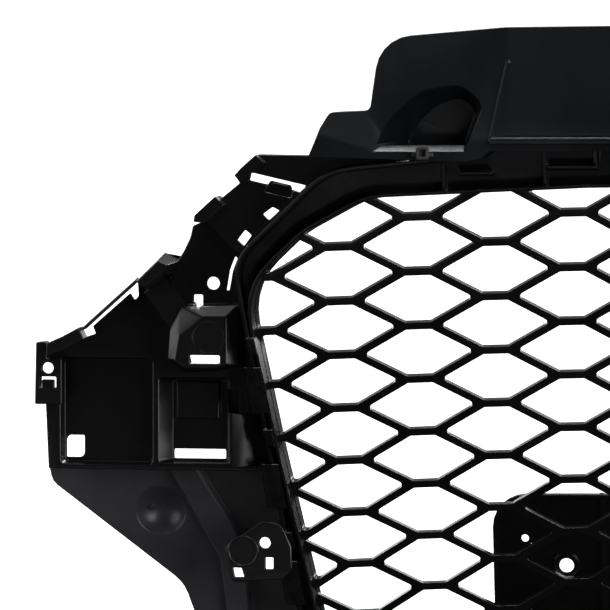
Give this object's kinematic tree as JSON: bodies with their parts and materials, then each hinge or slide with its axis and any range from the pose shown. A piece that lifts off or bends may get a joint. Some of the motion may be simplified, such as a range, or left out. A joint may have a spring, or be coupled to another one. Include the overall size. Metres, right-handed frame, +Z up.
{
  "type": "front grille",
  "caption": "Car front grille with honeycomb mesh in a surround, carrier frame, air guide above, mounting brackets at both sides and a number plate bracket.",
  "frame": {"origin": "centre of the bounding box in X and Y, at the height of its bottom", "axes": "+X to the vehicle's left, +Y to the rear, into the vehicle (the side that is fixed to the car), +Z up; the show face looks along -Y"},
  "size_m": [1.032, 0.2198, 0.52],
  "materials": {
    "honeycomb_mesh": "moulded black, glossy",
    "surround_trim": "moulded black, glossy",
    "carrier_frame": "moulded black, glossy",
    "air_guide": "moulded black, glossy",
    "plate_bracket": "moulded black, glossy",
    "plate_screw_1": "zinc plated, pan head",
    "plate_screw_2": "zinc plated, pan head",
    "plate_screw_3": "zinc plated, pan head",
    "plate_screw_4": "zinc plated, pan head",
    "side_bracket_left": "moulded black, glossy",
    "corner_bracket_left": "moulded black, glossy",
    "end_bracket_left": "moulded black, glossy",
    "headlamp_rail_left": "moulded black, glossy",
    "lower_wing_left": "moulded dark grey black, satin gloss",
    "sensor_plate_left": "moulded black, satin gloss",
    "guide_clip_left": "moulded black",
    "spring_clip_1_left": "bare spring steel strip",
    "spring_clip_2_left": "bare spring steel strip",
    "spring_clip_3_left": "bare spring steel strip",
    "upper_rivet_body_left": "moulded nylon, slight sheen",
    "lower_rivet_body_left": "moulded nylon, slight sheen",
    "side_bracket_right": "moulded black, glossy",
    "corner_bracket_right": "moulded black, glossy",
    "end_bracket_right": "moulded black, glossy",
    "headlamp_rail_right": "moulded black, glossy",
    "lower_wing_right": "moulded dark grey black, satin gloss",
    "sensor_plate_right": "moulded black, satin gloss",
    "guide_clip_right": "moulded black",
    "spring_clip_1_right": "bare spring steel strip",
    "spring_clip_2_right": "bare spring steel strip",
    "spring_clip_3_right": "bare spring steel strip",
    "upper_rivet_body_right": "moulded nylon, slight sheen",
    "lower_rivet_body_right": "moulded nylon, slight sheen",
    "upper_rivet_pin_left": "moulded nylon, slight sheen",
    "lower_rivet_pin_left": "moulded nylon, slight sheen",
    "snap_tongue_left": "moulded black, glossy",
    "upper_rivet_pin_right": "moulded nylon, slight sheen",
    "lower_rivet_pin_right": "moulded nylon, slight sheen",
    "snap_tongue_right": "moulded black, glossy"
  },
  "bodies": {
    "grille": {"honeycomb_mesh": "honeycomb_mesh", "surround_trim": "surround_trim", "carrier_frame": "carrier_frame", "air_guide": "air_guide", "plate_bracket": "plate_bracket", "plate_screw_1": "plate_screw_1", "plate_screw_2": "plate_screw_2", "plate_screw_3": "plate_screw_3", "plate_screw_4": "plate_screw_4", "side_bracket_left": "side_bracket_left", "corner_bracket_left": "corner_bracket_left", "end_bracket_left": "end_bracket_left", "headlamp_rail_left": "headlamp_rail_left", "lower_wing_left": "lower_wing_left", "sensor_plate_left": "sensor_plate_left", "guide_clip_left": "guide_clip_left", "spring_clip_1_left": "spring_clip_1_left", "spring_clip_2_left": "spring_clip_2_left", "spring_clip_3_left": "spring_clip_3_left", "upper_rivet_body_left": "upper_rivet_body_left", "lower_rivet_body_left": "lower_rivet_body_left", "side_bracket_right": "side_bracket_right", "corner_bracket_right": "corner_bracket_right", "end_bracket_right": "end_bracket_right", "headlamp_rail_right": "headlamp_rail_right", "lower_wing_right": "lower_wing_right", "sensor_plate_right": "sensor_plate_right", "guide_clip_right": "guide_clip_right", "spring_clip_1_right": "spring_clip_1_right", "spring_clip_2_right": "spring_clip_2_right", "spring_clip_3_right": "spring_clip_3_right", "upper_rivet_body_right": "upper_rivet_body_right", "lower_rivet_body_right": "lower_rivet_body_right"},
    "upper_rivet_pin_left": {"upper_rivet_pin_left": "upper_rivet_pin_left"},
    "lower_rivet_pin_left": {"lower_rivet_pin_left": "lower_rivet_pin_left"},
    "snap_tongue_left": {"snap_tongue_left": "snap_tongue_left"},
    "upper_rivet_pin_right": {"upper_rivet_pin_right": "upper_rivet_pin_right"},
    "lower_rivet_pin_right": {"lower_rivet_pin_right": "lower_rivet_pin_right"},
    "snap_tongue_right": {"snap_tongue_right": "snap_tongue_right"}
  },
  "joints": [
    {"name": "upper_rivet_pin_left_press", "type": "slide", "parent": "grille", "child": "upper_rivet_pin_left", "axis": [0, 1, 0], "range_m": [0, 0.006]},
    {"name": "lower_rivet_pin_left_press", "type": "slide", "parent": "grille", "child": "lower_rivet_pin_left", "axis": [0, 1, 0], "range_m": [0, 0.006]},
    {"name": "snap_tongue_left_flex", "type": "hinge", "parent": "grille", "child": "snap_tongue_left", "pos_m": [0.37351, 0.0713, 0.42377], "axis": [0.9748, 0, 0.2233], "range_deg": [-8, 8]},
    {"name": "upper_rivet_pin_right_press", "type": "slide", "parent": "grille", "child": "upper_rivet_pin_right", "axis": [0, 1, 0], "range_m": [0, 0.006]},
    {"name": "lower_rivet_pin_right_press", "type": "slide", "parent": "grille", "child": "lower_rivet_pin_right", "axis": [0, 1, 0], "range_m": [0, 0.006]},
    {"name": "snap_tongue_right_flex", "type": "hinge", "parent": "grille", "child": "snap_tongue_right", "pos_m": [-0.37351, 0.0713, 0.42377], "axis": [0.9748, 0, -0.2233], "range_deg": [-8, 8]}
  ]
}
